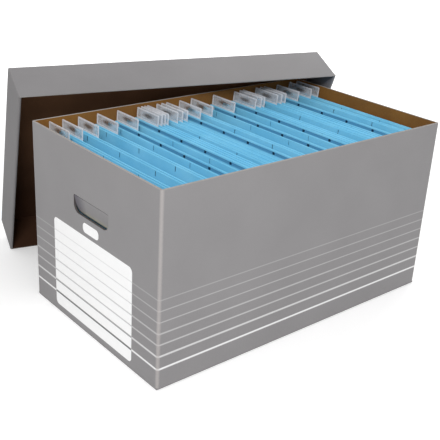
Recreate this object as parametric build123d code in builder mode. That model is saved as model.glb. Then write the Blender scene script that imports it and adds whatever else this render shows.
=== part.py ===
from build123d import *
import os
from math import cos, radians, sin

# A printed cardboard archive box standing open, its lid leaned against the back,
# filled with card suspension files that carry clear plastic index tabs.
# Millimetres. X runs along the box, -Y is its front long side, +Z is up.
# The origin is the centre of the base on the floor.

# Box, a sleeve of one board closed below by four flaps that all meet
box_length = 560
box_width = 334
box_height = 296
box_board = 3.5
fold_outer_radius = 4
fold_inner_radius = 0.6
base_fold_radius = 3
flap_seam = 0.4
outer_flap_inset = 1

# Hand holes, one in each end wall, each with a flap creased along its top edge
hand_hole_width = 92
hand_hole_height = 27
hand_hole_drop = 77
hand_hole_lower_radius = 13
hand_hole_upper_radius = 3
hand_flap_gap = 0.8
hand_flap_crease_gap = 0.3
hand_flap_angle = 12

# Lid, a tray whose end walls roll over into an inner leaf, with tucks between
lid_board = 1.5
lid_clearance = 5
lid_depth = 76.4
lid_fold_radius = 2
lid_panel_radius = 1.4
lid_tuck_length = 55
lid_tuck_gap = 0.1
lid_tuck_rim_gap = 2.5
lid_yaw = -14.1
lid_tilt = 22.3
lid_shift = -30.1
lid_rest_gap = 0.3

# Files, a folded card each, with folded hems, and an index tab clipped to it
card_thickness = 0.7
card_end_gap = 3.5
fold_radius = 0.7
hem_thickness = 1.6
hem_height = 3
front_leaf_drop = 22
back_leaf_drop = 20
file_floor_gap = 0.3
closed_gap = 2.6
first_lean = 0.5
last_lean = 6
slit_width = 1.6
slit_height = 7.5
slit_below_edge = 1.5
slit_back_inset = 37
slit_front_inset = 104
slit_count = 3
slot_width = 5
slot_height = 4.4
slot_back_inset = 8
slot_front_inset = 19
slot_below_hem = 0.4
slot_count = 6

# Index tab, a framed window on a foot with one barbed prong
tab_width = 60
tab_rise = 18
tab_thickness = 1
tab_foot = 10
tab_frame = 2.5
tab_window_depth = 0.5
tab_corner_radius = 2
tab_end_inset = 2
prong_width = 3
prong_height = 2.4
barb_length = 6
barb_gap = 0.15
barb_thickness = 0.7

# Where each file's front leaf stands along the box, as a share of the inner
# length from the left wall, and how wide the file gapes at its top
file_stations = [
    (0.03, closed_gap), (0.071, closed_gap), (0.121, closed_gap), (0.183, closed_gap),
    (0.231, 13.4), (0.296, 16.6),
    (0.335, closed_gap), (0.346, closed_gap), (0.357, closed_gap),
    (0.391, closed_gap), (0.409, closed_gap), (0.427, closed_gap), (0.446, 19.2),
    (0.522, closed_gap), (0.586, 15.9), (0.666, 20.2),
    (0.722, closed_gap), (0.736, closed_gap), (0.792, closed_gap), (0.812, closed_gap),
    (0.829, closed_gap), (0.85, 23.3), (0.947, closed_gap), (0.982, closed_gap),
]

inner_length = box_length - 2 * box_board
inner_width = box_width - 2 * box_board
floor_height = 2 * box_board
hand_hole_top = box_height - hand_hole_drop

os.makedirs("parts", exist_ok=True)


def save(solid, name):
    solid.label = name
    export_step(solid, f"parts/{name}.step")


# The sleeve: four walls folded from one board, with a hand hole in each end
hand_hole_centre = hand_hole_top - hand_hole_height / 2
with BuildPart() as sleeve:
    with BuildSketch(Plane.XY.offset(box_board)):
        RectangleRounded(box_length, box_width, fold_outer_radius)
        RectangleRounded(inner_length, inner_width, fold_inner_radius, mode=Mode.SUBTRACT)
    extrude(amount=box_height - box_board)
    with BuildSketch(Plane.YZ) as hand_hole:
        with Locations((0, hand_hole_centre)):
            Rectangle(hand_hole_width, hand_hole_height)
        fillet(hand_hole.vertices().group_by(Axis.Y)[0], hand_hole_lower_radius)
        fillet(hand_hole.vertices().group_by(Axis.Y)[-1], hand_hole_upper_radius)
    extrude(amount=box_length, both=True, mode=Mode.SUBTRACT)
save(sleeve.part, "box_sleeve")

# Base flaps: the long outer pair lies under the end pair, and each pair meets
for name, side in (("front", -1), ("back", 1)):
    with BuildPart() as outer_flap:
        with BuildSketch():
            with Locations((0, side * (box_width + flap_seam) / 4)):
                Rectangle(box_length - 2 * outer_flap_inset, (box_width - flap_seam) / 2)
        extrude(amount=box_board)
        under_edges = outer_flap.edges().filter_by(Axis.X).group_by(Axis.Z)[0]
        fillet(under_edges.sort_by(Axis.Y)[0 if side < 0 else -1], base_fold_radius)
    save(outer_flap.part, f"base_flap_{name}")

for name, side in (("left", -1), ("right", 1)):
    with BuildPart() as end_flap:
        with BuildSketch(Plane.XY.offset(box_board)):
            with Locations((side * (inner_length + flap_seam) / 4, 0)):
                Rectangle((inner_length - flap_seam) / 2, inner_width - 2 * fold_inner_radius)
        extrude(amount=box_board)
    save(end_flap.part, f"base_flap_{name}")

# Hand-hole flaps, pushed inward about the crease along the top of their hole
flap_width = hand_hole_width - 2 * hand_flap_gap
flap_height = hand_hole_height - hand_flap_gap - hand_flap_crease_gap
for name, side in (("left", -1), ("right", 1)):
    inner_face = Plane(
        origin=(side * inner_length / 2, 0, hand_hole_top - hand_flap_crease_gap),
        x_dir=(0, side, 0),
        z_dir=(side * cos(radians(hand_flap_angle)), 0, -sin(radians(hand_flap_angle))),
    )
    with BuildPart() as hand_flap:
        with BuildSketch(inner_face) as flap_outline:
            with Locations((0, -flap_height / 2)):
                Rectangle(flap_width, flap_height)
            fillet(flap_outline.vertices().group_by(Axis.Y)[0], hand_hole_lower_radius - hand_flap_gap)
            fillet(flap_outline.vertices().group_by(Axis.Y)[-1], hand_hole_upper_radius - hand_flap_gap)
        extrude(amount=box_board)
    save(hand_flap.part, f"hand_flap_{name}")

# The lid stands on the rim of its lower long wall and leans its panel on the
# box's back right top corner, its upper wall reaching over the rim. A lid too low
# to reach over leans its upper rim on that corner's side. Its plane has the
# panel's outer face at 0 and the open side along +Z.
lid_end_wall = 3 * lid_board + 2 * lid_tuck_gap
lid_length = box_length + 2 * (lid_clearance + lid_end_wall)
lid_width = box_width + 2 * (lid_clearance + lid_board)
yaw = radians(lid_yaw)
tilt = radians(lid_tilt)
lid_along = Vector(cos(yaw), sin(yaw), 0)
lid_open = Vector(sin(yaw) * cos(tilt), -cos(yaw) * cos(tilt), -sin(tilt))
corner_centre = Vector(box_length / 2 - fold_outer_radius, box_width / 2 - fold_outer_radius, box_height)
panel_height = lid_width / 2 * cos(tilt) + lid_depth * sin(tilt)
if lid_width * cos(tilt) > box_height + lid_rest_gap:
    lean_reach = corner_centre.dot(lid_open) - fold_outer_radius * cos(tilt)
    panel_reach = (lean_reach - lid_board - lid_rest_gap + panel_height * sin(tilt)) / cos(tilt)
else:
    corner_reach = corner_centre.X * sin(yaw) - corner_centre.Y * cos(yaw)
    rim_reach = lid_width / 2 * sin(tilt) + lid_depth * cos(tilt)
    panel_reach = corner_reach - fold_outer_radius - lid_rest_gap - rim_reach
lid_origin = Vector(
    lid_shift * cos(yaw) + panel_reach * sin(yaw),
    lid_shift * sin(yaw) - panel_reach * cos(yaw),
    panel_height,
)
lid_plane = Plane(origin=lid_origin, x_dir=lid_along, z_dir=lid_open)


# A plane given in the lid's own directions
def lid_at(x, y, z, x_dir=(1, 0, 0), z_dir=(0, 0, 1)):
    return Plane(lid_plane.location * Plane(origin=(x, y, z), x_dir=x_dir, z_dir=z_dir).location)


roll_radius = lid_end_wall / 2
tray_inner_length = lid_length - 2 * lid_board
tray_inner_width = lid_width - 2 * lid_board
with BuildPart() as lid_tray:
    with BuildSketch(lid_plane):
        RectangleRounded(lid_length, lid_width, lid_fold_radius)
    extrude(amount=lid_depth)
    with BuildSketch(lid_plane.offset(lid_board)):
        Rectangle(tray_inner_length, tray_inner_width)
    extrude(amount=lid_depth, mode=Mode.SUBTRACT)
    # The end walls stop short of the rim, where the rolled leaf takes over
    for side in (-1, 1):
        with BuildSketch(lid_at(side * lid_length / 2, 0, lid_depth)):
            Rectangle(2 * lid_board, tray_inner_width)
        extrude(amount=-roll_radius, mode=Mode.SUBTRACT)
    panel_face = lid_tray.faces().sort_by(Axis(lid_origin, lid_open))[0]
    fillet(panel_face.edges(), lid_panel_radius)
save(lid_tray.part, "lid_tray")

# Inner end leaves, rolled over the rim from the end walls, down to the panel
roll_start = lid_depth - roll_radius
for name, side in (("left", -1), ("right", 1)):
    outer = lid_length / 2
    inner = outer - lid_end_wall
    profile_plane = lid_at(0, side * tray_inner_width / 2, 0, x_dir=(side, 0, 0), z_dir=(0, -side, 0))
    with BuildPart() as end_leaf:
        with BuildSketch(profile_plane):
            with BuildLine():
                Polyline(
                    (inner, roll_start),
                    (inner, lid_board),
                    (inner + lid_board, lid_board),
                    (inner + lid_board, roll_start),
                )
                ThreePointArc(
                    (inner + lid_board, roll_start),
                    (outer - roll_radius, lid_depth - lid_board),
                    (outer - lid_board, roll_start),
                )
                Line((outer - lid_board, roll_start), (outer, roll_start))
                ThreePointArc((outer, roll_start), (outer - roll_radius, lid_depth), (inner, roll_start))
            make_face()
        extrude(amount=tray_inner_width)
    save(end_leaf.part, f"lid_end_leaf_{name}")

# Corner tucks, folded in from the long walls and held between the two leaves
with BuildPart() as tucks:
    with BuildSketch(lid_plane.offset(lid_board)):
        for side in (-1, 1):
            for end in (-1, 1):
                tuck_x = end * (lid_length / 2 - 1.5 * lid_board - lid_tuck_gap)
                tuck_y = side * (tray_inner_width - lid_tuck_length) / 2
                with Locations((tuck_x, tuck_y)):
                    Rectangle(lid_board, lid_tuck_length)
    extrude(amount=roll_start - lid_board - lid_tuck_rim_gap)
save(tucks.part, "lid_corner_tucks")


# Files: one card folded at the bottom, its front leaf slit for tabs and its back
# leaf slotted, each leaf hemmed at the top. A file leans more the further right
# it stands, and slides out along its own lean.
card_width = inner_width - 2 * card_end_gap
slit_pitch = (card_width - slit_back_inset - slit_front_inset) / (slit_count - 1)
slit_row_centre = (slit_front_inset - slit_back_inset) / 2
slot_pitch = (card_width - slot_back_inset - slot_front_inset) / (slot_count - 1)
slot_row_centre = (slot_front_inset - slot_back_inset) / 2
card_floor = floor_height + file_floor_gap
outer_fold = fold_radius + card_thickness
hem_inset = hem_thickness - card_thickness
for number, (station, gape) in enumerate(file_stations, start=1):
    name = f"file_{number:02d}"
    lean = first_lean + (last_lean - first_lean) * station
    rise = Vector(sin(radians(lean)), 0, cos(radians(lean)))
    front_top = (box_height - front_leaf_drop - card_floor) / rise.Z
    back_top = (box_height - back_leaf_drop - card_floor) / rise.Z
    half = gape / 2
    front_edge_x = station * inner_length - inner_length / 2
    fold_x = front_edge_x + half + card_thickness - front_top * rise.X
    profile = Plane(
        origin=(fold_x, card_width / 2, card_floor), x_dir=(rise.Z, 0, -rise.X), z_dir=(0, -1, 0)
    )
    between = Plane(origin=(fold_x, 0, card_floor), x_dir=(0, 1, 0), z_dir=(rise.Z, 0, -rise.X))
    leaf_slope = (half - fold_radius) / (front_top - outer_fold)
    hem_foot = half - hem_height * leaf_slope
    with BuildPart() as card:
        with BuildSketch(profile):
            with BuildLine():
                Polyline(
                    (-outer_fold, outer_fold),
                    (-half - card_thickness, front_top),
                    (-half + hem_inset, front_top),
                    (-hem_foot + hem_inset, front_top - hem_height),
                    (-hem_foot, front_top - hem_height),
                    (-fold_radius, outer_fold),
                )
                ThreePointArc((-fold_radius, outer_fold), (0, card_thickness), (fold_radius, outer_fold))
                Polyline(
                    (fold_radius, outer_fold),
                    (hem_foot, back_top - hem_height),
                    (hem_foot - hem_inset, back_top - hem_height),
                    (half - hem_inset, back_top),
                    (half + card_thickness, back_top),
                    (outer_fold, outer_fold),
                )
                ThreePointArc((outer_fold, outer_fold), (0, 0), (-outer_fold, outer_fold))
            make_face()
        extrude(amount=card_width)
        # Slots for tabs in the back leaf
        slot_centre = back_top - hem_height - slot_below_hem - slot_height / 2
        with BuildSketch(between):
            with Locations((slot_row_centre, slot_centre)):
                with GridLocations(slot_pitch, 1, slot_count, 1):
                    Rectangle(slot_width, slot_height)
        extrude(amount=half + outer_fold, mode=Mode.SUBTRACT)
        # Slits for tabs in the front leaf, cut through its hem
        slit_centre = front_top - slit_below_edge - slit_height / 2
        with BuildSketch(between):
            with Locations((slit_row_centre, slit_centre)):
                with GridLocations(slit_pitch, 1, slit_count, 1):
                    Rectangle(slit_width, slit_height)
        extrude(amount=-(half + outer_fold), mode=Mode.SUBTRACT)
    save(card.part, f"{name}_card")

    # The tab stands behind the back leaf at the file's back end, its window above
    # the leaf and its prong through the last slot
    foot_of_face = profile.from_local_coords(Vector(outer_fold, outer_fold, 0))
    top_of_face = profile.from_local_coords(Vector(half + card_thickness, back_top, 0))
    face_up = (top_of_face - foot_of_face).normalized()
    tab_plane = Plane(
        origin=(top_of_face.X, card_width / 2 - tab_end_inset - tab_width / 2, top_of_face.Z),
        x_dir=(0, 1, 0),
        z_dir=(face_up.Z, 0, -face_up.X),
    )
    prong_x = card_width / 2 - slot_back_inset - tab_plane.origin.Y
    prong_y = slot_centre - back_top
    barb_y = prong_y + (prong_height - barb_length) / 2
    with BuildPart() as tab:
        with BuildSketch(tab_plane) as tab_outline:
            with Locations((0, (tab_rise - tab_foot) / 2)):
                Rectangle(tab_width, tab_rise + tab_foot)
            fillet(tab_outline.vertices(), tab_corner_radius)
        extrude(amount=tab_thickness)
        with BuildSketch(tab_plane):
            with Locations((0, tab_rise / 2)):
                Rectangle(tab_width - 2 * tab_frame, tab_rise - 2 * tab_frame)
        extrude(amount=tab_window_depth, mode=Mode.SUBTRACT)
        with BuildSketch(tab_plane):
            with Locations((prong_x, prong_y)):
                Rectangle(prong_width, prong_height)
        extrude(amount=-card_thickness - barb_gap)
        with BuildSketch(tab_plane.offset(-card_thickness - barb_gap)):
            with Locations((prong_x, barb_y)):
                Rectangle(prong_width, barb_length)
        extrude(amount=-barb_thickness)
    save(tab.part, f"{name}_tab")
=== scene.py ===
from math import cos, pi, radians, sin

import bmesh
import bpy
from mathutils import Matrix, Vector


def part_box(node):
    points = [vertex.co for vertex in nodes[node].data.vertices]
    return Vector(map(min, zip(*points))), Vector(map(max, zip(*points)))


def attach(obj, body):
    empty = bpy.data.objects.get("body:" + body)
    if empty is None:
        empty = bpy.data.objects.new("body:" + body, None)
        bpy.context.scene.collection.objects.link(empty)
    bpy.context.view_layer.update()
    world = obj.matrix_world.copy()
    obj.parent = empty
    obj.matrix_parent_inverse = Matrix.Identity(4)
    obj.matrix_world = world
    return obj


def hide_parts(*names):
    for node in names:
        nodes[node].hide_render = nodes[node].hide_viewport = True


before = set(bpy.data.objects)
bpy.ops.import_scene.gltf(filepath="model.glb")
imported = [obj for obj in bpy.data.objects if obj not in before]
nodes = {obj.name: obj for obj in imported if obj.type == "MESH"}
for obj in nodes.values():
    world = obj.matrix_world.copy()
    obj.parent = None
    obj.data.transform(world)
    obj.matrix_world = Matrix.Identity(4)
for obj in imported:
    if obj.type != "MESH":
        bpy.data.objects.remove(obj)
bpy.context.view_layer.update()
mm = 0.001
xAxis, yAxis, zAxis = Vector((1, 0, 0)), Vector((0, 1, 0)), Vector((0, 0, 1))
asColour = {"data_type": "RGBA"}  # the setting of a Mix node that blends colours
print("frame loaded,", len(nodes), "nodes")


# colours are written as sRGB hex and turned to linear here
def toLinear(hexColour):
    parts = [int(hexColour[i:i + 2], 16) / 255 for i in (1, 3, 5)]
    return [c / 12.92 if c < 0.04045 else ((c + 0.055) / 1.055) ** 2.4 for c in parts] + [1]


# adds a node with its settings and links, and gives its outputs
def addNode(tree, kind, settings=None, inputs=None):
    node = tree.nodes.new("ShaderNode" + kind)
    for name, value in (settings or {}).items():
        setattr(node, name, value)
    for socket, value in (inputs or {}).items():
        if isinstance(value, bpy.types.NodeSocket):
            tree.links.new(value, node.inputs[socket])
        else:
            node.inputs[socket].default_value = value
    return node.outputs


def startMaterial(name):
    material = bpy.data.materials.new(name)
    material.use_nodes = True
    tree = material.node_tree
    place = addNode(tree, "TexCoord")["Object"]
    return material, tree, tree.nodes["Principled BSDF"], place


# paper and card: the finish is a roughness and a specular level
def finishPaper(tree, shader, colour, bump, finish):
    tree.links.new(colour, shader.inputs["Base Color"])
    tree.links.new(bump, shader.inputs["Normal"])
    shader.inputs["Roughness"].default_value, shader.inputs["Specular IOR Level"].default_value = finish


# Camera, set where the photograph was taken from

photoCamera = {
    "place": (-831.6, -911.9, 668.1),  # mm from the middle of the box's base
    "azimuth": -41.04,
    "elevation": 23.75,
    "roll": 3.33,
    "focalPixels": 813.9,
    "imageSide": 440,
    "sensor": 36,  # mm
}


def makeCamera():
    turn, height = radians(photoCamera["azimuth"]), radians(photoCamera["elevation"])
    back = Vector((sin(turn) * cos(height), -cos(turn) * cos(height), sin(height)))
    right = (-back).cross(zAxis).normalized()
    up = right.cross(-back)
    roll = radians(photoCamera["roll"])
    rolledRight = right * cos(roll) + up * sin(roll)
    rolledUp = up * cos(roll) - right * sin(roll)
    lens = bpy.data.cameras.new("photoCamera")
    lens.sensor_width = photoCamera["sensor"]
    lens.lens = photoCamera["focalPixels"] / photoCamera["imageSide"] * photoCamera["sensor"]
    camera = bpy.data.objects.new("photoCamera", lens)
    bpy.context.scene.collection.objects.link(camera)
    facing = Matrix((rolledRight, rolledUp, back)).transposed().to_4x4()
    camera.matrix_world = Matrix.Translation(Vector(photoCamera["place"]) * mm) @ facing
    bpy.context.scene.camera = camera


makeCamera()
print("camera set")

# Studio: a white floor, an even white surround and two broad soft lamps

studio = {
    "floorSize": 16,  # m
    "floorSeen": "#FFFFFF",
    "floorBounce": "#D8D8D8",  # duller to the light that it throws back on the box
    "floorRoughness": 0.9,
    "floorGlow": 0.15,  # keeps the shadow on the white floor faint
    "floorFade": (0.9, 2.5),  # m from the box's middle, where the glow starts to grow and is full
    "surround": 0.62,  # its strength as a light; to the eye it is 1
    "lamps": [  # place and aim in m, side in m, watts
        ((-2.2, -2.4, 2.6), (0, 0, 0.1), 1.1, 89),
        ((2.6, 1.6, 2.4), (0, 0, 0.1), 2.4, 40),
    ],
}


def makeSurround():
    world = bpy.data.worlds.new("whiteSurround")
    bpy.context.scene.world = world
    world.use_nodes = True
    tree = world.node_tree
    seen = addNode(tree, "LightPath")
    direct = addNode(
        tree, "Math", {"operation": "MAXIMUM"}, {0: seen["Is Camera Ray"], 1: seen["Is Transmission Ray"]}
    )
    lift = addNode(tree, "Math", {"operation": "MAXIMUM"}, {0: direct[0], 1: seen["Is Glossy Ray"]})
    strength = addNode(tree, "MapRange", {}, {"Value": lift[0], "To Min": studio["surround"], "To Max": 1.0})
    tree.nodes["Background"].inputs["Color"].default_value = (1, 1, 1, 1)
    tree.links.new(strength[0], tree.nodes["Background"].inputs["Strength"])


def addLamps():
    for number, (place, aim, side, watts) in enumerate(studio["lamps"], start=1):
        lamp = bpy.data.lights.new(f"softLamp{number}", "AREA")
        lamp.size, lamp.energy = side, watts
        holder = bpy.data.objects.new(lamp.name, lamp)
        holder.location = place
        holder.rotation_euler = (Vector(aim) - Vector(place)).to_track_quat("-Z", "Y").to_euler()
        bpy.context.scene.collection.objects.link(holder)


def addFloor():
    bpy.ops.object.select_all(action="DESELECT")
    bpy.ops.mesh.primitive_plane_add(size=studio["floorSize"])
    floor = bpy.context.object
    floor.name = "floor"
    material, tree, shader, surface = startMaterial("whiteFloor")
    seen = addNode(tree, "LightPath")["Is Camera Ray"]
    bounce, shown = toLinear(studio["floorBounce"]), toLinear(studio["floorSeen"])
    white = addNode(tree, "Mix", asColour, {"Factor": seen, 6: bounce, 7: shown})
    away = addNode(tree, "VectorMath", {"operation": "LENGTH"}, {0: surface})
    near, far = studio["floorFade"]
    fade = addNode(
        tree, "MapRange", {},
        {"Value": away["Value"], "From Min": near, "From Max": far,
         "To Min": studio["floorGlow"], "To Max": 1.0},
    )
    glow = addNode(tree, "Math", {"operation": "MULTIPLY"}, {0: seen, 1: fade[0]})
    tree.links.new(white[2], shader.inputs["Base Color"])
    tree.links.new(glow[0], shader.inputs["Emission Strength"])
    shader.inputs["Emission Color"].default_value = (1, 1, 1, 1)
    shader.inputs["Roughness"].default_value = studio["floorRoughness"]
    shader.inputs["Specular IOR Level"].default_value = 0.0
    floor.data.materials.append(material)


bpy.context.scene.view_settings.view_transform = "Standard"
makeSurround()
addLamps()
addFloor()
print("studio made")

# Board materials

boardLook = {  # a pair is the pale and the dark shade of a mottle
    "grey": ("#949293", "#8D8B8C"),
    "lidGrey": ("#828081", "#7A7879"),
    "leafShadeGrey": ("#7F7D81", "#767478"),
    "kraft": ("#92652E", "#6C4927"),
    "lidKraft": ("#8A6448", "#6C4E38"),
    "cutEdge": ("#C4C0BC", "#9C9894"),
    "handHoleShadeEdge": ("#5E5958", "#454143"),
    # painted shade on the hand flap
    "handFlapShade": "#625F68",
    "handScuff": "#A6A497",
    "foldScuff": "#B4AEAC",
    "white": "#FFFFFF",
    # painted shade for kraft low down, and the heights above the floor where it is full and none
    "paintedFootShade": "#7C7069",
    "paintedFootShadeHeights": (90 * mm, 300 * mm),  # above the floor, full and none
}

boardPaper = {
    "fibre": 1.6 * mm,
    "fibreRoughness": 0.65,
    "cloud": 90 * mm,
    "spread": 0.35,  # from the mottle's middle to all pale or all dark
    "printedMottle": 0.5,  # the fibres' part in the mottle, where the clouds' is 1
    "bareMottle": 0.9,
    "ridge": 0.25,  # the flutes' part in the relief, where the fibres' is 1
    "reliefStrength": 0.35,
    "relief": 0.08 * mm,
    "edgeGrain": 0.7 * mm,
    "edgeReliefStrength": 0.6,
    "edgeRelief": 0.2 * mm,
    "printedFinish": (0.62, 0.35),
    "bareFinish": (0.85, 0.2),
    "edgeFinish": (0.9, 0.15),
}

boxPrint = {  # lengths in mm
    "stripes": [  # height above the floor, width, strength
        (34.3, 2.9, 0.85),
        (54.4, 2.5, 0.56),
        (72.4, 2.0, 0.37),
        (89.9, 1.8, 0.31),
        (107.3, 1.6, 0.28),
        (124.4, 1.5, 0.24),
        (141.3, 1.3, 0.18),
    ],
    "stripeReach": 200,  # the height that the stripes' ramp spans
    "stripeSoftness": 0.2,
    "onLabel": 1.4,  # the stripes' strength on the label, as a share of that on the grey
    "lineGrey": "#6E6C6E",
    "panels": [  # the label and the plate above it: centre across and up, width, height, corner radius
        (0.6, 87.1, 210.5, 150.2, 7.5),
        (0.8, 176.2, 42, 15.4, 6.5),
    ],
    "panelReach": 0.5,  # how far in from the end wall's face the panels' paint goes
    "panelSoftness": 0.15,
    "foldScuffWidth": 4.2,
    "foldScuffSoftness": 1.4,
    "foldScuffGrain": 2.5,
    "foldScuffRag": 1.6,  # how far its ragged edge wanders
    "foldScuffStrength": 0.75,
}


# board's paper: mottled fibres, and the flutes' ridges showing faintly through the liner
def paperNodes(tree, place, shades, mottle, ridgeDirections, flute):
    fibres = addNode(
        tree, "TexNoise", {},
        {"Vector": place, "Scale": 1 / boardPaper["fibre"], "Detail": 5.0,
         "Roughness": boardPaper["fibreRoughness"]},
    )
    clouds = addNode(tree, "TexNoise", {}, {"Vector": place, "Scale": 1 / boardPaper["cloud"], "Detail": 3.0})
    mixed = addNode(tree, "Math", {"operation": "MULTIPLY_ADD"}, {0: fibres[0], 1: mottle, 2: clouds[0]})
    middle, spread = 0.5 + mottle / 2, boardPaper["spread"]
    share = addNode(
        tree, "MapRange", {}, {"Value": mixed[0], "From Min": middle - spread, "From Max": middle + spread}
    )
    pale, dark = (toLinear(shade) for shade in shades)
    colour = addNode(tree, "Mix", asColour, {"Factor": share[0], 6: dark, 7: pale})
    height = fibres[0]
    for direction in ridgeDirections:
        along = addNode(tree, "VectorMath", {"operation": "DOT_PRODUCT"}, {0: place, 1: direction})
        turnRate = 2 * pi / flute["spacing"]
        turns = addNode(tree, "Math", {"operation": "MULTIPLY"}, {0: along["Value"], 1: turnRate})
        wave = addNode(tree, "Math", {"operation": "SINE"}, {0: turns[0]})
        height = addNode(
            tree, "Math", {"operation": "MULTIPLY_ADD"}, {0: wave[0], 1: boardPaper["ridge"], 2: height}
        )[0]
    bump = addNode(
        tree, "Bump", {},
        {"Height": height, "Strength": boardPaper["reliefStrength"], "Distance": boardPaper["relief"]},
    )
    return colour[2], bump[0]


# the white stripes round the box, and the label and plate on its left end
def printedOver(tree, place, colour):
    parts = addNode(tree, "SeparateXYZ", {}, {0: place})
    reach = boxPrint["stripeReach"]
    up = addNode(tree, "MapRange", {}, {"Value": parts["Z"], "From Max": reach * mm})
    band = addNode(tree, "ValToRGB", {}, {0: up[0]})[0]
    stops = band.node.color_ramp.elements
    stops[0].color = stops[1].color = (0, 0, 0, 1)
    for height, width, strength in boxPrint["stripes"]:
        for side in (-1, 1):
            for stand, level in ((width / 2 + boxPrint["stripeSoftness"], 0), (width / 2, strength)):
                stop = stops.new((height + side * stand) / reach)
                stop.color = (level, level, level, 1)
    white, line = toLinear(boardLook["white"]), toLinear(boxPrint["lineGrey"])
    colour = addNode(tree, "Mix", asColour, {"Factor": band, 6: colour, 7: white})[2]
    faint = addNode(tree, "Math", {"operation": "MULTIPLY"}, {0: band, 1: boxPrint["onLabel"]})
    lined = addNode(tree, "Mix", asColour, {"Factor": faint[0], 6: white, 7: line})
    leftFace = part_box("box_sleeve")[0].x
    soft = boxPrint["panelSoftness"]
    for (across, high, width, tall, radius), paint in zip(boxPrint["panels"], (lined[2], white)):
        centre = Vector((leftFace, across * mm, high * mm))
        straight = Vector((boxPrint["panelReach"], width / 2 - radius, tall / 2 - radius)) * mm
        far = place
        for operation, value in (
            ("SUBTRACT", centre), ("ABSOLUTE", (0, 0, 0)), ("SUBTRACT", straight), ("MAXIMUM", (0, 0, 0))
        ):
            far = addNode(tree, "VectorMath", {"operation": operation}, {0: far, 1: value})[0]
        length = addNode(tree, "VectorMath", {"operation": "LENGTH"}, {0: far})
        inside = addNode(
            tree, "MapRange", {},
            {"Value": length["Value"], "From Min": (radius - soft) * mm, "From Max": (radius + soft) * mm,
             "To Min": 1.0, "To Max": 0.0},
        )
        colour = addNode(tree, "Mix", asColour, {"Factor": inside[0], 6: colour, 7: paint})[2]
    return colour


# how far in from the box's outline a point lies, along X from its ends and along Y from its long walls
def insideOutline(tree, place):
    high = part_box("box_sleeve")[1]
    outward = addNode(tree, "VectorMath", {"operation": "ABSOLUTE"}, {0: place})
    inward = addNode(tree, "VectorMath", {"operation": "SUBTRACT"}, {0: (high.x, high.y, 0), 1: outward[0]})
    return addNode(tree, "SeparateXYZ", {}, {0: inward[0]})


# ink cracked off along the upright folds shows the paler paper
def scuffedFolds(tree, place, colour):
    parts = insideOutline(tree, place)
    both = addNode(tree, "Math", {"operation": "ADD"}, {0: parts["X"], 1: parts["Y"]})
    grain, rag = boxPrint["foldScuffGrain"] * mm, boxPrint["foldScuffRag"] * mm
    crack = addNode(tree, "TexNoise", {}, {"Vector": place, "Scale": 1 / grain, "Detail": 3.0})
    reach = addNode(tree, "Math", {"operation": "MULTIPLY_ADD"}, {0: crack[0], 1: rag, 2: both[0]})
    width, soft = boxPrint["foldScuffWidth"] * mm, boxPrint["foldScuffSoftness"] * mm
    scuff = addNode(
        tree, "MapRange", {},
        {"Value": reach[0], "From Min": width - soft, "From Max": width + soft,
         "To Min": boxPrint["foldScuffStrength"], "To Max": 0.0},
    )
    pale = toLinear(boardLook["foldScuff"])
    return addNode(tree, "Mix", asColour, {"Factor": scuff[0], 6: colour, 7: pale})[2]


# litho-printed test liner: an even grey ink with a faint sheen over brown paper
def greyPrintedBoard(name, shades, ridgeDirections, flute, withPrint):
    material, tree, shader, place = startMaterial(name)
    colour, bump = paperNodes(tree, place, shades, boardPaper["printedMottle"], ridgeDirections, flute)
    if withPrint:
        colour = scuffedFolds(tree, place, printedOver(tree, place, colour))
    finishPaper(tree, shader, colour, bump, boardPaper["printedFinish"])
    return material


# bare kraft liner: brown, fibrous and quite matt, with painted shade that can darken it towards the floor
def kraftBoard(name, shades, ridgeDirections, flute, paintedFootShade):
    material, tree, shader, place = startMaterial(name)
    unshadedKraft, bump = paperNodes(tree, place, shades, boardPaper["bareMottle"], ridgeDirections, flute)
    parts = addNode(tree, "SeparateXYZ", {}, {0: place})
    low, high = boardLook["paintedFootShadeHeights"]
    shade = addNode(
        tree, "MapRange", {},
        {"Value": parts["Z"], "From Min": low, "From Max": high, "To Min": paintedFootShade, "To Max": 0.0},
    )
    colour = addNode(
        tree, "Mix", {"data_type": "RGBA", "blend_type": "MULTIPLY"},
        {"Factor": shade[0], 6: unshadedKraft, 7: toLinear(boardLook["paintedFootShade"])},
    )
    finishPaper(tree, shader, colour[2], bump, boardPaper["bareFinish"])
    return material


# die-cut edge: rough paper ends, mottled between a pale and a dark shade; the hand hole's edge is made dark
# as painted shade
def cutBoardEdge(name, shades):
    material, tree, shader, place = startMaterial(name)
    rough = addNode(
        tree, "TexNoise", {}, {"Vector": place, "Scale": 1 / boardPaper["edgeGrain"], "Detail": 4.0}
    )
    pale, dark = (toLinear(shade) for shade in shades)
    colour = addNode(tree, "Mix", asColour, {"Factor": rough[0], 6: dark, 7: pale})
    strength, depth = boardPaper["edgeReliefStrength"], boardPaper["edgeRelief"]
    bump = addNode(tree, "Bump", {}, {"Height": rough[0], "Strength": strength, "Distance": depth})
    finishPaper(tree, shader, colour[2], bump[0], boardPaper["edgeFinish"])
    return material


# Flutes: the box is of a coarse one, as archive boxes are, and the lid of a fine one

boxFlute = {"spacing": 6.5 * mm, "paper": 0.35 * mm, "liner": 0.6 * mm, "depth": 1.2 * mm}
lidFlute = {"spacing": 3.4 * mm, "paper": 0.2 * mm, "liner": 0.35 * mm, "depth": 0.8 * mm}
fluteSteps = 8

boxPrinted = greyPrintedBoard("greyPrintedBox", boardLook["grey"], (xAxis, yAxis), boxFlute, True)
kraft = kraftBoard("kraftLiner", boardLook["kraft"], (xAxis, yAxis), boxFlute, 0)
cutEdge = cutBoardEdge("cutBoardEdge", boardLook["cutEdge"])
handHoleShadeEdge = cutBoardEdge("shadedHandHoleEdge", boardLook["handHoleShadeEdge"])
print("board materials made")


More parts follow.
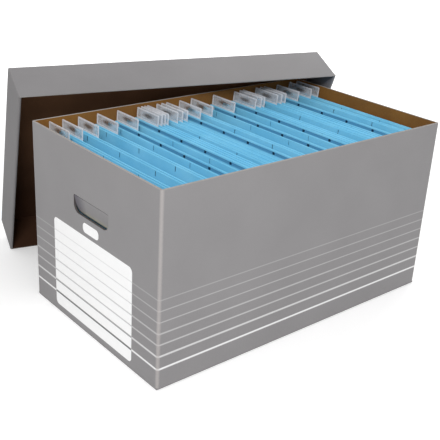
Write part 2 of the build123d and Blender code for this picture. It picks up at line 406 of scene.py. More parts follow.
# selects, in edit mode, the faces or edges that pass a test
def pick(piece, kind, test):
    bpy.ops.mesh.select_mode(type="FACE" if kind == "faces" else "EDGE")
    bpy.ops.mesh.select_all(action="DESELECT")
    mesh = bmesh.from_edit_mesh(piece.data)
    for item in getattr(mesh, kind):
        if test(item):
            item.select_set(True)
    bmesh.update_edit_mesh(piece.data)


def selectOnly(*pieces):
    bpy.ops.object.select_all(action="DESELECT")
    for piece in pieces:
        piece.select_set(True)
    bpy.context.view_layer.objects.active = pieces[0]


def addBlock(name, low, high):
    bpy.ops.object.select_all(action="DESELECT")
    bpy.ops.mesh.primitive_cube_add(size=1, location=(low + high) / 2, scale=high - low)
    bpy.ops.object.transform_apply(location=True, rotation=True, scale=True)
    piece = bpy.context.object
    piece.name = name
    piece.data.name = name
    return piece


# a sheet of paper or board laid as a grid, each of its points placed by column and row
def addSheet(name, columns, rows, place):
    bpy.ops.object.select_all(action="DESELECT")
    bpy.ops.mesh.primitive_grid_add(x_subdivisions=columns - 1, y_subdivisions=rows - 1, size=1)
    piece = bpy.context.object
    piece.name = name
    piece.data.name = name
    for vertex in piece.data.vertices:
        column = round((vertex.co.x + 0.5) * (columns - 1))
        row = round((vertex.co.y + 0.5) * (rows - 1))
        vertex.co = place(column, row)
    return piece


# turns a sheet over if it looks away from a direction
def faceTowards(sheet, direction):
    if sheet.data.polygons[0].normal.dot(direction) < 0:
        selectOnly(sheet)
        bpy.ops.object.mode_set(mode="EDIT")
        bpy.ops.mesh.select_all(action="SELECT")
        bpy.ops.mesh.flip_normals()
        bpy.ops.object.mode_set(mode="OBJECT")


def giveMaterials(piece, *materials):
    for material in materials:
        piece.data.materials.append(material)


def applyModifier(piece, kind, **settings):
    modifier = piece.modifiers.new(kind.lower(), kind)
    for name, value in settings.items():
        setattr(modifier, name, value)
    bpy.context.view_layer.objects.active = piece
    bpy.ops.object.modifier_apply(modifier=modifier.name)


# thickens a shell inwards: its first material outside, its second inside, its third on the cut edges
def thickenBoard(piece, thickness):
    applyModifier(
        piece, "SOLIDIFY", thickness=thickness, offset=-1, use_even_offset=True,
        material_offset=1, material_offset_rim=2,
    )


# sets a piece's place into its mesh, and shades its curves smooth
def settle(piece, place=None):
    selectOnly(piece)
    if place is not None:
        piece.matrix_world = place
    bpy.ops.object.transform_apply(location=True, rotation=True, scale=True)
    bpy.ops.object.shade_smooth_by_angle(angle=radians(35))


def standFor(piece, body, slot, *replaced):
    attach(piece, body)
    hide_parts(*replaced)


def joinPieces(main, others):
    selectOnly(main, *others)
    bpy.ops.object.join()


# the fluted paper seen in a cut edge: one wave is modelled, repeated and given its thickness
def addFlutes(name, flute, start, along, up, across, length, boardThickness):
    count = int(length / flute["spacing"])
    spacing = length / count
    sway = boardThickness / 2 - flute["liner"] - flute["paper"] / 2
    piece = addSheet(name, fluteSteps + 1, 2, lambda column, row: Vector((
        column / fluteSteps * spacing, sway * sin(2 * pi * column / fluteSteps), row * flute["depth"])))
    applyModifier(
        piece, "ARRAY", count=count, use_relative_offset=False, use_constant_offset=True,
        constant_offset_displace=(spacing, 0, 0), use_merge_vertices=True, merge_threshold=0.01 * mm,
    )
    applyModifier(piece, "SOLIDIFY", thickness=flute["paper"], offset=0)
    facing = Matrix((along, across, up)).transposed().to_4x4()
    giveMaterials(piece, cutEdge)
    settle(piece, Matrix.Translation(start) @ facing)
    return piece


# hollows the rim between its two liners, so that the flutes show there
def openRim(piece, flute, test):
    selectOnly(piece)
    bpy.ops.object.mode_set(mode="EDIT")
    pick(piece, "faces", test)
    bpy.ops.mesh.inset(thickness=flute["liner"], use_boundary=True)
    bpy.ops.mesh.extrude_region_move(TRANSFORM_OT_translate={"value": (0, 0, -flute["depth"])})
    bpy.ops.object.mode_set(mode="OBJECT")


# Box

box = {
    "board": 3.5 * mm,
    "foldRadius": 4 * mm,
    "foldSteps": 6,
    "handHoleWidth": 92 * mm,
    "handHoleHeight": 27 * mm,
    "handHoleDrop": 77 * mm,
    "handHoleLowerRadius": 13 * mm,
    "handHoleUpperRadius": 3 * mm,
    "handHoleSteps": 8,
    "handFlapGap": 0.8 * mm,
    "handFlapCreaseGap": 0.3 * mm,
    "handFlapAngle": 12,  # degrees
    "cutterReach": 20 * mm,
}


# a board blank with the hand hole's outline, rounder below than above
def addHandShape(name, low, high, lowerRadius, upperRadius):
    piece = addBlock(name, low, high)
    middle = (low.z + high.z) / 2
    bpy.ops.object.mode_set(mode="EDIT")
    for radius, isLower in ((lowerRadius, True), (upperRadius, False)):
        pick(piece, "edges", lambda e: abs(e.verts[0].co.x - e.verts[1].co.x) > 0.9 * (high.x - low.x)
             and (e.verts[0].co.z < middle) == isLower)
        bpy.ops.mesh.bevel(offset=radius, segments=box["handHoleSteps"], affect="EDGES")
    bpy.ops.object.mode_set(mode="OBJECT")
    return piece


# the hole's top is the crease, where the print goes on round the fold
def cutHandHole(sleeve, end, top):
    halfWidth, reach = box["handHoleWidth"] / 2, box["cutterReach"]
    cutter = addHandShape(
        "handHoleCutter",
        Vector((end - reach, -halfWidth, top - box["handHoleHeight"])), Vector((end + reach, halfWidth, top)),
        box["handHoleLowerRadius"], box["handHoleUpperRadius"],
    )
    # the hole's cut sides are dark with painted shade, and its top keeps the grey print
    giveMaterials(cutter, handHoleShadeEdge, boxPrinted)
    for face in cutter.data.polygons:
        face.material_index = 1 if face.normal.z > 0.7 else 0
    applyModifier(
        sleeve, "BOOLEAN", object=cutter, operation="DIFFERENCE", solver="EXACT", material_mode="TRANSFER"
    )
    bpy.data.objects.remove(cutter)


def makeSleeve():
    low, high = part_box("box_sleeve")
    sleeve = addBlock("boxSleeve", low, high)
    giveMaterials(sleeve, boxPrinted, kraft, cutEdge)
    bpy.ops.object.mode_set(mode="EDIT")
    pick(sleeve, "faces", lambda f: abs(f.normal.z) > 0.5)
    bpy.ops.mesh.delete(type="ONLY_FACE")
    pick(sleeve, "edges", lambda e: abs(e.verts[0].co.z - e.verts[1].co.z) > 0.1)
    bpy.ops.mesh.bevel(offset=box["foldRadius"], segments=box["foldSteps"], affect="EDGES")
    bpy.ops.object.mode_set(mode="OBJECT")
    thickenBoard(sleeve, box["board"])
    for end in (low.x, high.x):
        cutHandHole(sleeve, end, high.z - box["handHoleDrop"])
    openRim(sleeve, boxFlute, lambda f: f.normal.z > 0.9 and f.calc_center_median().z > high.z - 1 * mm)
    settle(sleeve)
    straightX = high.x - low.x - 2 * box["foldRadius"]
    straightY = high.y - low.y - 2 * box["foldRadius"]
    middle = box["board"] / 2
    bottom = high.z - boxFlute["depth"]
    waves = []
    for side in (-1, 1):
        alongX = Vector((-straightX / 2, side * (high.y - middle), bottom))
        alongY = Vector((side * (high.x - middle), -straightY / 2, bottom))
        waves.append(addFlutes("rimFlutes", boxFlute, alongX, xAxis, zAxis, yAxis, straightX, box["board"]))
        waves.append(addFlutes("rimFlutes", boxFlute, alongY, yAxis, zAxis, -xAxis, straightY, box["board"]))
    joinPieces(sleeve, waves)
    standFor(sleeve, "box", "box_board", "box_sleeve")


handWear = {
    "shadePatch": 5 * mm,
    "scuffRag": 3 * mm,
    "scuffHeights": (3 * mm, 9 * mm),  # above the flap's lower edge, full and none
    "scuffStrength": 0.8,
    "shadeRag": 6 * mm,
    "shadeReach": (20 * mm, 40 * mm),  # across from the flap's middle, none and full
    "shadeStrength": 0.8,
    "finish": (0.7, 0.3),
}


# the same grey print where hands push it in: scuffed pale by its lower edge, with painted shade darkening it
# towards one end
def handledPrint(footHeight):
    material, tree, shader, place = startMaterial("greyPrintedHandled")
    printed, bump = paperNodes(
        tree, place, boardLook["grey"], boardPaper["printedMottle"], (yAxis,), boxFlute
    )
    patchy = addNode(tree, "TexNoise", {}, {"Vector": place, "Scale": 1 / handWear["shadePatch"], "Detail": 3.0})
    parts = addNode(tree, "SeparateXYZ", {}, {0: place})
    low = addNode(
        tree, "Math", {"operation": "MULTIPLY_ADD"}, {0: patchy[0], 1: handWear["scuffRag"], 2: parts["Z"]}
    )
    full, none = handWear["scuffHeights"]
    scuff = addNode(
        tree, "MapRange", {},
        {"Value": low[0], "From Min": footHeight + full, "From Max": footHeight + none,
         "To Min": handWear["scuffStrength"], "To Max": 0.0},
    )
    # painted shade, growing towards the flap's end
    far = addNode(
        tree, "Math", {"operation": "MULTIPLY_ADD"}, {0: patchy[0], 1: handWear["shadeRag"], 2: parts["Y"]}
    )
    none, full = handWear["shadeReach"]
    flapShade = addNode(
        tree, "MapRange", {},
        {"Value": far[0], "From Min": none, "From Max": full,
         "To Min": 0.0, "To Max": handWear["shadeStrength"]},
    )
    pale, shadeColour = toLinear(boardLook["handScuff"]), toLinear(boardLook["handFlapShade"])
    scuffed = addNode(tree, "Mix", asColour, {"Factor": scuff[0], 6: printed, 7: pale})
    colour = addNode(tree, "Mix", asColour, {"Factor": flapShade[0], 6: scuffed[2], 7: shadeColour})
    finishPaper(tree, shader, colour[2], bump, handWear["finish"])
    return material


def makeHandFlaps():
    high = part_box("box_sleeve")[1]
    gap = box["handFlapGap"]
    width = box["handHoleWidth"] - 2 * gap
    height = box["handHoleHeight"] - gap - box["handFlapCreaseGap"]
    creaseHeight = high.z - box["handHoleDrop"] - box["handFlapCreaseGap"]
    handled = handledPrint(creaseHeight - height * cos(radians(box["handFlapAngle"])))
    for side, word in ((-1, "left"), (1, "right")):
        nearX, farX = sorted((0, side * box["board"]))
        flap = addHandShape(
            f"handFlap_{word}",
            Vector((nearX, -width / 2, -height)), Vector((farX, width / 2, 0)),
            box["handHoleLowerRadius"] - gap, box["handHoleUpperRadius"] - gap,
        )
        giveMaterials(flap, cutEdge, handled, kraft)
        for face in flap.data.polygons:
            if abs(face.normal.x) > 0.9:
                face.material_index = 1 if face.normal.x * side > 0 else 2
            elif face.normal.z > 0.7:
                face.material_index = 1
        crease = Vector((side * (high.x - box["board"]), 0, creaseHeight))
        swing = Matrix.Rotation(radians(side * box["handFlapAngle"]), 4, "Y")
        settle(flap, Matrix.Translation(crease) @ swing)
        standFor(flap, f"hand_flap_{word}", "box_board", f"hand_flap_{word}")


makeSleeve()
makeHandFlaps()
print("box made")

# Lid

lid = {
    "yaw": -14.1,  # degrees
    "tilt": 22.3,  # degrees
    "board": 1.5 * mm,
    "length": 579.4 * mm,
    "width": 347 * mm,
    "depth": 76.4 * mm,
    "foldRadius": 2 * mm,
    "foldSteps": 5,
    "panelRadius": 1.4 * mm,
    "panelSteps": 4,
    "endWall": 4.7 * mm,
    "tuckRimGap": 2.5 * mm,
    "rollSteps": 12,
}


# from the lid's own directions, panel down and open side up, to where it leans
def lidPlace():
    yaw, tilt = radians(lid["yaw"]), radians(lid["tilt"])
    along = Vector((cos(yaw), sin(yaw), 0))
    opening = Vector((sin(yaw) * cos(tilt), -cos(yaw) * cos(tilt), -sin(tilt)))
    low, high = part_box("lid_corner_tucks")  # they sit evenly about the panel's middle
    tuckTop = lid["depth"] - lid["endWall"] / 2 - lid["tuckRimGap"]
    origin = (low + high) / 2 - opening * (lid["board"] + tuckTop) / 2
    return Matrix.Translation(origin) @ Matrix((along, opening.cross(along), opening)).transposed().to_4x4()


placeOfLid = lidPlace()
turnOfLid = placeOfLid.to_3x3()
alongLid, acrossLid, outOfLid = (turnOfLid @ axis for axis in (xAxis, yAxis, zAxis))
lidPrinted = greyPrintedBoard("greyPrintedLid", boardLook["lidGrey"], (alongLid,), lidFlute, False)
# the leaves' print is a darker copy of the lid's grey, as painted shade
shadedLeafPrint = greyPrintedBoard("greyPrintedLeafShaded", boardLook["leafShadeGrey"], (acrossLid,), lidFlute, False)
# the lid's liner and tucks get the full painted shade towards the floor
lidKraft = kraftBoard("kraftLidLiner", boardLook["lidKraft"], (alongLid,), lidFlute, 1)


def makeLidTray():
    half = Vector((lid["length"] / 2, lid["width"] / 2, 0))
    innerY = half.y - lid["board"]
    tray = addBlock("lidTray", -half, half + Vector((0, 0, lid["depth"])))
    giveMaterials(tray, lidPrinted, lidKraft, cutEdge)
    bpy.ops.object.mode_set(mode="EDIT")
    pick(tray, "faces", lambda f: f.normal.z > 0.5)
    bpy.ops.mesh.delete(type="ONLY_FACE")
    pick(tray, "edges", lambda e: abs(e.verts[0].co.z - e.verts[1].co.z) > 0.01)
    bpy.ops.mesh.bevel(offset=lid["foldRadius"], segments=lid["foldSteps"], affect="EDGES")
    pick(tray, "edges", lambda e: len(e.link_faces) == 2 and max(v.co.z for v in e.verts) < 0.1 * mm)
    bpy.ops.mesh.bevel(offset=lid["panelRadius"], segments=lid["panelSteps"], affect="EDGES")
    bpy.ops.object.mode_set(mode="OBJECT")
    thickenBoard(tray, lid["board"])
    # the end walls stop where the rolled leaf takes over
    roll = lid["endWall"] / 2
    for vertex in tray.data.vertices:
        atRim = vertex.co.z > lid["depth"] - 0.1 * mm
        if atRim and abs(vertex.co.x) > half.x - 2 * lid["board"] and abs(vertex.co.y) < innerY:
            vertex.co.z -= roll

    def isLongRim(face):
        centre = face.calc_center_median()
        return face.normal.z > 0.9 and abs(centre.y) > innerY and abs(centre.x) < 0.5 * half.x

    openRim(tray, lidFlute, isLongRim)
    settle(tray, placeOfLid)
    length = lid["length"] - 2 * lid["foldRadius"]
    waves = []
    for side in (-1, 1):
        middle = side * (half.y - lid["board"] / 2)
        start = placeOfLid @ Vector((-length / 2, middle, lid["depth"] - lidFlute["depth"]))
        waves.append(
            addFlutes("lidFlutes", lidFlute, start, alongLid, outOfLid, acrossLid, length, lid["board"])
        )
    joinPieces(tray, waves)
    standFor(tray, "lid", "lid_board", "lid_tray")


# an inner leaf is one sheet stood on the panel and rolled over the end wall's rim: its print shows
# inside the lid and goes on round the roll
def makeLidLeaves():
    roll = lid["endWall"] / 2
    rollStart = lid["depth"] - roll
    halfWidth = lid["width"] / 2 - lid["board"]
    outer = lid["length"] / 2
    steps = lid["rollSteps"]
    profile = [(outer - lid["endWall"], lid["board"]), (outer - lid["endWall"], rollStart / 2)]
    for step in range(steps + 1):
        turn = pi * (1 - step / steps)
        profile.append((outer - roll + roll * cos(turn), rollStart + roll * sin(turn)))
    for side, word in ((-1, "left"), (1, "right")):
        leaf = addSheet(f"lidEndLeaf_{word}", len(profile), 2, lambda column, row: Vector((
            side * profile[column][0], side * (1 - 2 * row) * halfWidth, profile[column][1])))
        giveMaterials(leaf, lidPrinted, lidKraft, cutEdge, shadedLeafPrint)
        faceTowards(leaf, -side * xAxis)
        thickenBoard(leaf, lid["board"])
        # below the roll the print is a darker grey: painted shade of the lid's own walls
        for face in leaf.data.polygons:
            if face.material_index == 0 and face.center.z < rollStart:
                face.material_index = 3
        settle(leaf, placeOfLid)
        standFor(leaf, "lid", "lid_board", f"lid_end_leaf_{word}")


makeLidTray()
makeLidLeaves()
print("lid made")

# Base flaps and lid tucks keep the frame's own shapes

base = {
    "underNormals": (-0.6, -0.4),  # the normal's height where the print on the underside is full and none
    "outlineReach": 1.5 * mm,  # the outer pair's folded edges and ends come this near the box's outline
    "finish": (0.8, 0.2),
}


# folded base board: printed below and round the folds that meet the walls' faces, bare liner up
def baseBoard():
    material, tree, shader, place = startMaterial("kraftBaseBoard")
    bare, bump = paperNodes(
        tree, place, boardLook["kraft"], boardPaper["bareMottle"], (xAxis, yAxis), boxFlute
    )
    facing = addNode(tree, "SeparateXYZ", {}, {0: addNode(tree, "NewGeometry")["Normal"]})
    full, none = base["underNormals"]
    under = addNode(
        tree, "MapRange", {},
        {"Value": facing["Z"], "From Min": full, "From Max": none, "To Min": 1.0, "To Max": 0.0},
    )
    parts = insideOutline(tree, place)
    nearest = addNode(tree, "Math", {"operation": "MINIMUM"}, {0: parts["X"], 1: parts["Y"]})
    outline = addNode(tree, "Math", {"operation": "LESS_THAN"}, {0: nearest[0], 1: base["outlineReach"]})
    printed = addNode(tree, "Math", {"operation": "MAXIMUM"}, {0: under[0], 1: outline[0]})
    grey = toLinear(boardLook["grey"][0])
    colour = addNode(tree, "Mix", asColour, {"Factor": printed[0], 6: bare, 7: grey})
    finishPaper(tree, shader, colour[2], bump, base["finish"])
    return material


def dress(name, material):
    nodes[name].data.materials.clear()
    nodes[name].data.materials.append(material)


baseMaterial = baseBoard()
for word in ("front", "back", "left", "right"):
    dress(f"base_flap_{word}", baseMaterial)
dress("lid_corner_tucks", lidKraft)
print("base flaps and tucks dressed")

# Files

closedGap = 2.6  # mm
files = {
    "stations": [  # share of the inner length where the front leaf stands, and the gape at the top in mm
        (0.03, closedGap), (0.071, closedGap), (0.121, closedGap), (0.183, closedGap),
        (0.231, 13.4), (0.296, 16.6),
        (0.335, closedGap), (0.346, closedGap), (0.357, closedGap),
        (0.391, closedGap), (0.409, closedGap), (0.427, closedGap), (0.446, 19.2),
        (0.522, closedGap), (0.586, 15.9), (0.666, 20.2),
        (0.722, closedGap), (0.736, closedGap), (0.792, closedGap), (0.812, closedGap),
        (0.829, closedGap), (0.85, 23.3), (0.947, closedGap), (0.982, closedGap),
    ],
    "leans": (0.5, 6),  # degrees, at the inner length's start and end
    "thickness": 0.7 * mm,
    "foldRadius": 0.7 * mm,
    "hemThickness": 1.6 * mm,
    "hemHeight": 3 * mm,
    "frontDrop": 22 * mm,
    "backDrop": 20 * mm,
    "endGap": 3.5 * mm,
    "floorGap": 0.3 * mm,
    "slitWidth": 1.6 * mm,
    "slitTop": 1.5 * mm,
    "slitBottom": 9 * mm,
    "slitInsets": (37 * mm, 104 * mm),  # of the outermost slits, from the back and the front
    "slitCount": 3,
    "slotWidth": 5 * mm,
    "slotTop": 3.4 * mm,
    "slotBottom": 7.8 * mm,
    "slotInsets": (8 * mm, 19 * mm),
    "slotCount": 6,
    "widestColumn": 40 * mm,
    # the strip of painted shade behind the slots: where it ends, laps, stands off and how thick it is
    "shadeStripEnd": 3.5 * mm,  # past the outermost slot's middle
    "shadeStripLap": 1.5 * mm,
    "shadeStripGap": 0.02 * mm,
    "shadeStripThickness": 0.15 * mm,
    "sway": 0.22 * mm,
    "swayTurns": (2.4, 2.6),  # radians from file to file, and from a card's middle to its end
    "blue": ("#8AD3F0", "#71C3E6"),  # pale and deep
    # painted shade under the back leaves' hems
    "shadeBlue": "#5496BC",
    # painted shade: the near-black face of the strip behind the slots
    "slotShadeBlue": "#10304A",  # seen through the slots, unlit
    # the cut edges' dark navy is painted shade
    "edgeShadeBlue": "#1B4F75",
    "fibre": 1.2 * mm,
    "cloud": 60 * mm,
    "mottle": (0.7, 1.3),  # the two noises' sum where the card is all deep and all pale
    "reliefStrength": 0.3,
    "relief": 0.06 * mm,
    "finish": (0.7, 0.25),
}


# dyed manila card: soft blue, matt, with a fine fibre mottle
def blueCard(name, pale, deep):
    material, tree, shader, place = startMaterial(name)
    fibres = addNode(tree, "TexNoise", {}, {"Vector": place, "Scale": 1 / files["fibre"], "Detail": 5.0})
    clouds = addNode(tree, "TexNoise", {}, {"Vector": place, "Scale": 1 / files["cloud"], "Detail": 2.0})
    both = addNode(tree, "Math", {"operation": "ADD"}, {0: fibres[0], 1: clouds[0]})
    low, high = files["mottle"]
    share = addNode(tree, "MapRange", {}, {"Value": both[0], "From Min": low, "From Max": high})
    colour = addNode(tree, "Mix", asColour, {"Factor": share[0], 6: toLinear(deep), 7: toLinear(pale)})
    bump = addNode(
        tree, "Bump", {},
        {"Height": fibres[0], "Strength": files["reliefStrength"], "Distance": files["relief"]},
    )
    finishPaper(tree, shader, colour[2], bump[0], files["finish"])
    return material


cardBlue = blueCard("blueManilaCard", *files["blue"])
# the card's cut edges are dark navy as painted shade, so that slits and slots read dark
shadedCardEdge = blueCard("blueCardEdgeShaded", files["edgeShadeBlue"], files["edgeShadeBlue"])
cardShade = blueCard("blueCardPaintedShadeUnderHem", files["shadeBlue"], files["shadeBlue"])
slotShadeBlue = blueCard("paintedShadeBehindSlots", files["slotShadeBlue"], files["slotShadeBlue"])

inside = Vector(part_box("box_sleeve")[1]) - Vector((box["board"], box["board"], 0))
cardHalf = inside.y - files["endGap"]


# where a card's slits or slots stand along it, from the front to the back
def holeCentres(kind):
    back, front = files[kind + "Insets"]
    count = files[kind + "Count"]
    pitch = (2 * cardHalf - back - front) / (count - 1)
    return [front - cardHalf + n * pitch for n in range(count)]


# the card's columns, so that slits and slots fall on whole faces
def cardColumns():
    marks = {-cardHalf, cardHalf}
    for kind in ("slit", "slot"):
        reach = files[kind + "Width"] / 2
        for centre in holeCentres(kind):
            marks |= {centre - reach, centre + reach}
    marks = sorted(marks)
    halves = [(low + high) / 2 for low, high in zip(marks, marks[1:]) if high - low > files["widestColumn"]]
    return sorted(marks + halves)


# one leaf's middle line from its hem's inner end to the fold: across from the file's middle, and up
def leafRows(half, top, holeTop, holeBottom):
    thick = files["thickness"]
    bend = (files["hemThickness"] - thick) / 2
    crown = top - bend - thick / 2
    hemInner = half - files["hemThickness"] + 1.5 * thick
    footX, footZ = files["foldRadius"] + thick / 2, files["foldRadius"] + thick
    atTop = half + thick / 2
    hemFoot = top - files["hemHeight"]
    rows = [(hemInner, hemFoot), (hemInner, (hemFoot + top) / 2), (hemInner, crown)]
    for turn in (radians(45), radians(90), radians(135)):
        rows.append((atTop - bend - bend * cos(turn), crown + bend * sin(turn)))
    for height in (crown, top - holeTop, top - holeBottom, 0.75 * top, 0.5 * top, 0.25 * top, footZ):
        share = (height - footZ) / (top - footZ)
        rows.append((footX + (atTop - footX) * share, height))
    return rows


# a file's middle line over both leaves, in its own directions
def cardRows(half, frontTop, backTop):
    front = leafRows(half, frontTop, files["slitTop"], files["slitBottom"])
    back = leafRows(half, backTop, files["slotTop"], files["slotBottom"])
    foldX, foldZ = files["foldRadius"] + files["thickness"] / 2, files["foldRadius"] + files["thickness"]
    turns = [radians(angle) for angle in (-135, -90, -45)]
    fold = [(foldX * cos(turn), foldZ + foldX * sin(turn)) for turn in turns]
    return [(-x, z) for x, z in front] + fold + [(x, z) for x, z in reversed(back)]


def makeFile(number, station, gape):
    firstLean, lastLean = files["leans"]
    lean = radians(firstLean + (lastLean - firstLean) * station)
    rise, right = Vector((sin(lean), 0, cos(lean))), Vector((cos(lean), 0, -sin(lean)))
    floor = 2 * box["board"] + files["floorGap"]
    frontTop = (inside.z - files["frontDrop"] - floor) / rise.z
    backTop = (inside.z - files["backDrop"] - floor) / rise.z
    half = gape * mm / 2
    thick = files["thickness"]
    outerFold = files["foldRadius"] + thick
    foldX = station * 2 * inside.x - inside.x + half + thick - frontTop * rise.x
    origin = Vector((foldX, 0, floor))
    rows = cardRows(half, frontTop, backTop)
    columns = cardColumns()
    slits, slots = holeCentres("slit"), holeCentres("slot")
    slitMiddle = frontTop - (files["slitTop"] + files["slitBottom"]) / 2
    slotMiddle = backTop - (files["slotTop"] + files["slotBottom"]) / 2
    holeRows = [(slitMiddle, slits, files["slitWidth"], -1), (slotMiddle, slots, files["slotWidth"], 1)]

    # a place on the file, with the slight sway that grows towards the card's top
    def onFile(across, y, up):
        perFile, perHalf = files["swayTurns"]
        sway = files["sway"] * sin(number * perFile + y / cardHalf * perHalf) * (up / frontTop) ** 2
        return origin + right * (across + sway) + rise * up + Vector((0, y, 0))

    def placeCard(column, row):
        across, up = rows[row]
        return onFile(across, columns[column], up)

    # the strip of painted shade lies against the back leaf's outer face behind the slots, as far as the tab's
    # foot
    def placeShadeStrip(column, row):
        y = (slots[0] - files["shadeStripEnd"], slots[-2] + files["shadeStripEnd"])[column]
        down = (files["slotTop"] - files["shadeStripLap"], files["slotBottom"] + files["shadeStripLap"])[row]
        share = (backTop - down - outerFold) / (backTop - outerFold)
        across = outerFold + (half + thick - outerFold) * share + files["shadeStripGap"]
        return onFile(across, y, backTop - down)

    def isHole(face):
        centre = face.calc_center_median() - origin
        across, up = centre.dot(right), centre.dot(rise)
        for middle, places, width, side in holeRows:
            if across * side > 0 and abs(up - middle) < 1 * mm:
                if any(abs(centre.y - place) < width / 2 for place in places):
                    return True
        return False

    card = addSheet(f"card_{number:02d}", len(columns), len(rows), placeCard)
    giveMaterials(card, cardBlue, shadedCardEdge, cardShade)
    selectOnly(card)
    bpy.ops.object.mode_set(mode="EDIT")
    pick(card, "faces", isHole)
    bpy.ops.mesh.delete(type="FACE")
    bpy.ops.object.mode_set(mode="OBJECT")
    applyModifier(
        card, "SOLIDIFY", thickness=thick, offset=0, use_even_offset=True, material_offset_rim=1,
    )
    # painted shade: inside a mouth the card is darker just under the back leaf's hem, where the slots are
    for face in card.data.polygons:
        centre = face.center - origin
        below = backTop - centre.dot(rise)
        isInside = face.normal.dot(right) < -0.5 and centre.dot(right) > 0
        if isInside and files["slotTop"] < below < files["slotBottom"]:
            face.material_index = 2
    # the strip's side towards the slots is near black, as painted shade seen through them
    shadeStrip = addSheet("slotShadeStrip", 2, 2, placeShadeStrip)
    giveMaterials(shadeStrip, cardBlue, slotShadeBlue)
    faceTowards(shadeStrip, right)
    applyModifier(shadeStrip, "SOLIDIFY", thickness=files["shadeStripThickness"], offset=1, material_offset=1)
    joinPieces(card, [shadeStrip])
    settle(card)
    standFor(card, f"file_{number:02d}", "blue_card", f"file_{number:02d}_card")
    faceTop = origin + right * (half + thick) + rise * backTop
    faceFoot = origin + right * outerFold + rise * outerFold
    placeTab(number, faceTop, (faceTop - faceFoot).normalized())


# Index tabs

tab = {
    "width": 60 * mm,
    "rise": 18 * mm,
    "foot": 10 * mm,
    "thickness": 1 * mm,
    "frame": 2.5 * mm,
    "windowDepth": 0.5 * mm,
    "cornerRadius": 2 * mm,
    "cornerSteps": 4,
    "endInset": 2 * mm,
    "edgeRound": 0.2 * mm,
    "edgeSteps": 2,
    "prongWidth": 3 * mm,
    "prongHeight": 2.4 * mm,
    "barbLength": 6 * mm,
    "barbGap": 0.15 * mm,
    "barbThickness": 0.7 * mm,
    "windowTint": "#DDE2E8",
    "windowCover": (0.36, 0.08),  # how much of what is behind it the plastic hides, and how that varies
    "frameTint": "#ECECF0",
    "frameCover": (0.66, 0.06),
    "smear": 9 * mm,
    "smearRange": (0.3, 0.7),
    "roughnesses": (0.12, 0.35),
    "refraction": 1.53,
    # a dark patch of painted shade in the window
    "shadePatchTint": "#6E6A6A",
    "shadePatchCover": 0.1,  # beyond the window's own
    "shadePatchMiddle": (0.5, 0.5, 0.7),  # as shares of the tab, across and up
    "shadePatchReach": (10, 0.3, 0.17),  # the first is past the tab, so that the patch goes right through
    "shadePatchCore": 0.4,  # share of its reach where it is full
}


# clear PVC: glossy, seen through, with a faint haze of scuffs, and a dark patch of painted shade about a
# window's middle
def clearPlastic(name, tint, cover, shadePatchTint, shadePatchCover):
    material, tree, shader, place = startMaterial(name)
    smear = addNode(tree, "TexNoise", {}, {"Vector": place, "Scale": 1 / tab["smear"], "Detail": 3.0})
    low, high = tab["smearRange"]
    hidden, haze = cover
    clear = addNode(
        tree, "MapRange", {},
        {"Value": smear[0], "From Min": low, "From Max": high,
         "To Min": hidden - haze, "To Max": hidden + haze},
    )
    glossy, dull = tab["roughnesses"]
    roughness = addNode(tree, "MapRange", {}, {"Value": smear[0], "To Min": glossy, "To Max": dull})
    away = addNode(tree, "TexCoord")["Generated"]
    for operation, value in (("SUBTRACT", tab["shadePatchMiddle"]), ("DIVIDE", tab["shadePatchReach"])):
        away = addNode(tree, "VectorMath", {"operation": operation}, {0: away, 1: value})[0]
    far = addNode(tree, "VectorMath", {"operation": "LENGTH"}, {0: away})
    shadePatch = addNode(
        tree, "MapRange", {},
        {"Value": far["Value"], "From Min": tab["shadePatchCore"], "To Min": 1.0, "To Max": 0.0},
    )
    alpha = addNode(tree, "Math", {"operation": "MULTIPLY_ADD"}, {0: shadePatch[0], 1: shadePatchCover, 2: clear[0]})
    colour = addNode(tree, "Mix", asColour, {"Factor": shadePatch[0], 6: toLinear(tint), 7: toLinear(shadePatchTint)})
    tree.links.new(alpha[0], shader.inputs["Alpha"])
    tree.links.new(roughness[0], shader.inputs["Roughness"])
    tree.links.new(colour[2], shader.inputs["Base Color"])
    shader.inputs["IOR"].default_value = tab["refraction"]
    return material


tabClear = clearPlastic(
    "clearPvcWindow", tab["windowTint"], tab["windowCover"], tab["shadePatchTint"], tab["shadePatchCover"]
)
tabFrame = clearPlastic("clearPvcFrame", tab["frameTint"], tab["frameCover"], tab["frameTint"], 0)


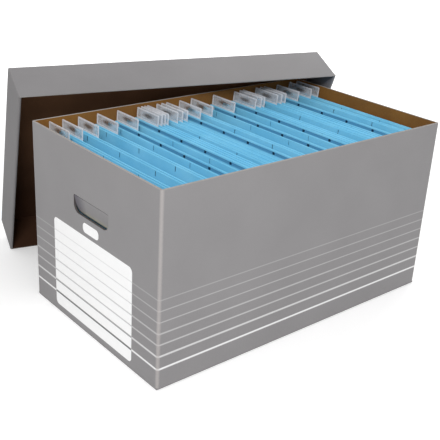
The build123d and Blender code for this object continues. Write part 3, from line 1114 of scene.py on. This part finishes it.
# modelled once, upright, the face of its foot that meets the leaf at y 0 and the leaf's top at z 0
def makeTabModel():
    half, thick = tab["width"] / 2, tab["thickness"]
    piece = addBlock("tabModel", Vector((-half, 0, -tab["foot"])), Vector((half, thick, tab["rise"])))
    giveMaterials(piece, tabFrame, tabClear)
    bpy.ops.object.mode_set(mode="EDIT")
    pick(piece, "edges", lambda e: abs(e.verts[0].co.y - e.verts[1].co.y) > 0.9 * thick)
    bpy.ops.mesh.bevel(offset=tab["cornerRadius"], segments=tab["cornerSteps"], affect="EDGES")
    bpy.ops.mesh.select_all(action="SELECT")
    bpy.ops.mesh.bisect(plane_co=(0, 0, 0), plane_no=(0, 0, 1))
    for side, depth in ((-1, tab["windowDepth"]), (1, 0)):
        pick(piece, "faces", lambda f: f.normal.y * side > 0.9 and f.calc_center_median().z > 0)
        bpy.ops.mesh.inset(thickness=tab["frame"])
        if depth:
            bpy.ops.mesh.extrude_region_move(TRANSFORM_OT_translate={"value": (0, depth, 0)})
        piece.active_material_index = 1
        bpy.ops.object.material_slot_assign()
    bpy.ops.object.mode_set(mode="OBJECT")
    prongX = files["slotInsets"][0] - tab["endInset"] - half
    prongTop = (tab["prongHeight"] - files["slotTop"] - files["slotBottom"]) / 2
    reach = tab["prongWidth"] / 2
    through = files["thickness"] + tab["barbGap"]
    parts = []
    for name, nearY, farY, drop in (
        ("prong", -through, 0, tab["prongHeight"]),
        ("barb", -through - tab["barbThickness"], -through, tab["barbLength"]),
    ):
        low = Vector((prongX - reach, nearY, prongTop - drop))
        part = addBlock(name, low, Vector((prongX + reach, farY, prongTop)))
        giveMaterials(part, tabFrame)
        parts.append(part)
    joinPieces(piece, parts)
    applyModifier(piece, "BEVEL", width=tab["edgeRound"], segments=tab["edgeSteps"], limit_method="ANGLE")
    return piece


# a copy of the model, against the back leaf's outer face and near the card's end
def placeTab(number, faceTop, upward):
    middle = cardHalf - tab["endInset"] - tab["width"] / 2
    facing = Matrix((-yAxis, upward.cross(-yAxis), upward)).transposed().to_4x4()
    copy = tabModel.copy()
    copy.data = tabModel.data.copy()
    copy.name = f"tab_{number:02d}"
    bpy.context.scene.collection.objects.link(copy)
    settle(copy, Matrix.Translation(Vector((faceTop.x, middle, faceTop.z))) @ facing)
    standFor(copy, f"file_{number:02d}", "clear_plastic", f"file_{number:02d}_tab")


tabModel = makeTabModel()
for number, (station, gape) in enumerate(files["stations"], start=1):
    makeFile(number, station, gape)
bpy.data.objects.remove(tabModel)
print("files made")
